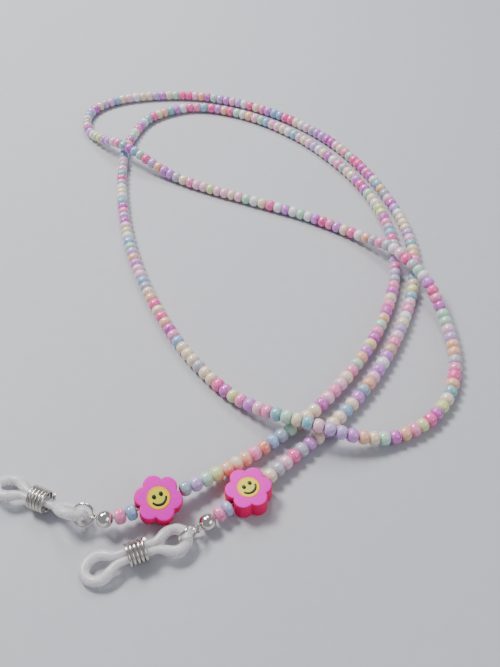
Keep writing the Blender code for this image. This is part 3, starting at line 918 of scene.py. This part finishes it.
def smile(side, end, material):
    """Two dots and an arc of black clay, laid into the front of the core."""
    turn = math.radians(end["face_turn"] - end["thread_heading"])
    face = flower_matrix(end) @ Matrix.Rotation(turn, 4, "Z")
    top = FLOWER_THICK / 2 + 0.03 * MM
    bits = []
    for across in (-0.7, 0.7):
        deselect_all()
        bpy.ops.mesh.primitive_uv_sphere_add(segments=20, ring_count=12, radius=0.42 * MM)
        dot = bpy.context.object
        edit(dot)
        bpy.ops.mesh.select_all(action="SELECT")
        bpy.ops.transform.resize(value=(0.92, 1.12, 0.4))
        leave_edit()
        bpy.ops.object.shade_smooth()
        settle(dot, face @ Matrix.Translation((across * MM, 0.5 * MM, top)))
        bits.append(dot)
    arc = [math.radians(a) for a in range(200, 345, 8)]
    points = [Vector((1.42 * MM * math.cos(a), 0.1 * MM + 1.42 * MM * math.sin(a), 0)) for a in arc]
    middle = (len(points) - 1) / 2
    shares = [1 - 0.25 * abs(i - middle) / middle for i in range(len(points))]
    mouth = drawn_tube(points, 0.27 * MM, shares=shares)
    edit(mouth)
    bpy.ops.mesh.select_all(action="SELECT")
    bpy.ops.transform.resize(value=(1, 1, 0.5))
    leave_edit()
    settle(mouth, face @ Matrix.Translation((0, 0, top)))
    bits.append(mouth)
    for name, bit in zip(("eye_a", "eye_b", "mouth"), bits):
        finish_piece(bit, f"{name}_{side}", f"flower_{side}", material)


def crimp_cover(side, end, material):
    """A shell bent round the crimp tube until its edges meet, which leaves a fine seam."""
    deselect_all()
    bpy.ops.mesh.primitive_uv_sphere_add(segments=48, ring_count=32, radius=COVER_R)
    cover = bpy.context.object
    pole = COVER_R * math.sqrt(1 - (COVER_HOLE_R / COVER_R) ** 2)
    edit(cover)
    bpy.ops.mesh.select_all(action="SELECT")
    bpy.ops.mesh.bisect(plane_co=(0, 0, pole), plane_no=(0, 0, 1), clear_outer=True)
    bpy.ops.mesh.select_all(action="SELECT")
    bpy.ops.mesh.bisect(plane_co=(0, 0, -pole), plane_no=(0, 0, -1), clear_outer=True)
    for edge_of_seam in (-0.05 * MM, 0.05 * MM):
        bpy.ops.mesh.select_all(action="SELECT")
        bpy.ops.mesh.bisect(plane_co=(0, edge_of_seam, 0), plane_no=(0, 1, 0))
    pick(cover, "faces", lambda face: face.calc_center_median().x > 0 and abs(
        face.calc_center_median().y) < 0.05 * MM)
    bpy.ops.mesh.delete(type="FACE")
    leave_edit()
    wall = cover.modifiers.new("wall", "SOLIDIFY")
    wall.thickness = COVER_WALL
    wall.offset = -1
    rim = cover.modifiers.new("rim", "BEVEL")
    rim.width = 0.05 * MM
    rim.segments = 2
    rim.angle_limit = math.radians(60)
    apply_modifiers(cover)
    bpy.ops.object.shade_smooth_by_angle(angle=math.radians(45))
    seam_down = Matrix.Rotation(math.radians(-150), 4, "Z")
    tail = tail_matrix(end, cover_distance(end))
    outward = tail.col[0].to_3d() + 2 * heading_vector(end["link_heading"])
    settle(cover, along_x(axes(tail.translation, outward, UP)) @ seam_down)
    node = f"crimp_cover_{side}"
    return finish_piece(cover, f"crimp_ball_{side}", "strand", material, [node])


# ---------------------------------------------------------------- links and temple loops


def wire_guard(side, end, material):
    """The horseshoe that the wire's eye runs through, between the cover and the jump ring."""
    arc = [math.radians(a) for a in range(-90, 91, 10)]
    points = [Vector((x * MM, -GUARD_LEG, 0)) for x in (1.3, 1.55)]
    for angle in arc:
        bend = GUARD_HALF * Vector((math.cos(angle), math.sin(angle), 0))
        points.append(Vector((RING_FROM_COVER, 0, 0)) + bend)
    points += [Vector((x * MM, GUARD_LEG, 0)) for x in (1.55, 1.3)]
    guard = drawn_tube(points, GUARD_WIRE_R)
    settle(guard, link_matrix(end))
    node = f"wire_guard_{side}"
    return finish_piece(guard, f"guard_loop_{side}", "strand", material, [node])


def jump_ring(side, end, material):
    """A ring bent from wire, whose cut ends almost meet and sit a hair out of line."""
    cut = math.radians(55)
    half_gap = math.radians(1.6)
    points = []
    for step in range(97):
        share = step / 96
        angle = cut + half_gap + (math.tau - 2 * half_gap) * share
        out_of_line = (share - 0.5) * 0.08 * MM
        points.append(Vector((RING_R * math.cos(angle), RING_R * math.sin(angle), out_of_line)))
    ring = drawn_tube(points, RING_WIRE_R)
    matrix = link_matrix(end) @ Matrix.Rotation(math.pi / 2, 4, "X")
    matrix.translation = ring_centre(end)
    settle(ring, matrix)
    name, body, node = f"split_ring_{side}", f"ring_{side}", f"jump_ring_{side}"
    return finish_piece(ring, name, body, material, [node])


def lobe(length, half_width, steps):
    """One side of a lobe from the coil to the tip: (distance, half width, share of the radius)."""
    widest = COIL_TRAVEL + 0.6 * (length - COIL_TRAVEL)
    squeezed = NECK_R / SILICONE_R
    points = [(COIL_TRAVEL * t / 3, NECK_HALF, squeezed) for t in (1, 2, 3)]
    for step in range(1, steps + 1):
        t = step / steps
        wide = NECK_HALF + (half_width - NECK_HALF) * math.sin(t * math.pi / 2) ** 2
        grown = min(1, 1.6 * t)
        share = squeezed + (1 - squeezed) * grown * grown * (3 - 2 * grown)
        points.append((COIL_TRAVEL + t * (widest - COIL_TRAVEL), wide, share))
    for step in range(1, steps + 1):
        a = step / steps * math.pi / 2
        points.append((widest + (length - widest) * math.sin(a), half_width * math.cos(a), 1))
    return points


def loop_line(end, steps=16):
    """The silicone cord's centreline: X out along the loop from the small tip, Y across, Z up."""
    coil_start = SMALL_LENGTH
    coil_end = coil_start + COIL_LENGTH
    total = coil_end + EYE_LENGTH
    small = [(coil_start - d, w, s) for d, w, s in lobe(SMALL_LENGTH, SMALL_HALF_WIDTH, steps)]
    eye = [(coil_end + d, w, s) for d, w, s in lobe(EYE_LENGTH, EYE_HALF_WIDTH, steps)]
    squeezed = NECK_R / SILICONE_R
    neck = [(coil_start + COIL_LENGTH * t / 8, NECK_HALF, squeezed) for t in range(9)]
    side = small[::-1] + neck + eye

    tip_height = ring_centre(end).z - 0.35 * MM
    coil_height = COIL_R + COIL_WIRE_R + REST_GAP
    eye_lift = EYE_BEARING * EYE_HALF_WIDTH * math.sin(math.radians(end["eye_roll"]))
    eye_height = SILICONE_R + eye_lift

    def spine(x):
        if x < coil_start:
            t = x / coil_start
            low, high = tip_height, coil_height
        else:
            t = max(0, (x - coil_end) / (total - coil_end))
            low, high = coil_height, eye_height
        return low + (high - low) * t * t * (3 - 2 * t)

    def roll(x):
        t = min(max((x - coil_start) / COIL_LENGTH, 0), 1)
        return math.radians(end["small_roll"] + (end["eye_roll"] - end["small_roll"]) * t)

    points, shares = [], []
    for sign, stations in ((1, side), (-1, side[-2:0:-1])):
        for x, wide, share in stations:
            across, raised = math.cos(roll(x)), math.sin(roll(x))
            points.append(Vector((x, sign * wide * across, spine(x) + sign * wide * raised)))
            shares.append(share)
    return points, shares


def temple_loop(side, end, material):
    """One closed silicone cord, pinched to a figure of eight."""
    points, shares = loop_line(end)
    cord = drawn_tube(points, SILICONE_R, cyclic=True, shares=shares, sides=6)
    settle(cord, loop_matrix(end))
    name, body, node = f"silicone_loop_{side}", f"loop_{side}", f"temple_loop_{side}"
    return finish_piece(cord, name, body, material, [node])


def sliding_coil(side, end, material):
    """Five close turns of spring wire, whose cut ends are on the far side."""
    height = COIL_R + COIL_WIRE_R + REST_GAP
    steps = 28
    turns = []
    for step in range(COIL_TURNS * steps + 1):
        angle = math.pi + math.tau * step / steps
        x = (step / steps - COIL_TURNS / 2) * COIL_PITCH
        turns.append(Vector((x, COIL_R * math.cos(angle), COIL_R * math.sin(angle))))
    coil = drawn_tube(turns, COIL_WIRE_R)
    settle(coil, loop_matrix(end) @ Matrix.Translation((SMALL_LENGTH + COIL_LENGTH / 2, 0, height)))
    name, body, node = f"spring_coil_{side}", f"coil_{side}", f"sliding_coil_{side}"
    return finish_piece(coil, name, body, material, [node])


def floor(material):
    deselect_all()
    bpy.ops.mesh.primitive_plane_add(size=6)
    card = bpy.context.object
    card.name = "floor"
    card.data.materials.append(material)


# ---------------------------------------------------------------- everything together


look()
light_studio()
strand = strand_line()
pearl = pearl_glass()
beads = seed_beads(strand, pearl)
beading_wire(strand, coated_wire())
floor(pale_card())
slice_clay = petal_clay("magenta_clay_slice", "#F400CC")
skin_clay = petal_clay("hot_pink_clay_skin", "#FA0060")
yellow = face_clay()
black = black_clay()
silver = silver_plate()
nickel = spring_wire()
clear = silicone()
for end_side, end_layout in ENDS.items():
    accent_beads(end_side, end_layout, pearl)
    flower_petals(end_side, end_layout, slice_clay, skin_clay)
    flower_face(end_side, end_layout, yellow)
    smile(end_side, end_layout, black)
    crimp_cover(end_side, end_layout, silver)
    wire_guard(end_side, end_layout, silver)
    jump_ring(end_side, end_layout, silver)
    temple_loop(end_side, end_layout, clear)
    sliding_coil(end_side, end_layout, nickel)
    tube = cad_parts[f"crimp_tube_{end_side}"]
    tube.data.materials.clear()
    tube.data.materials.append(nickel)
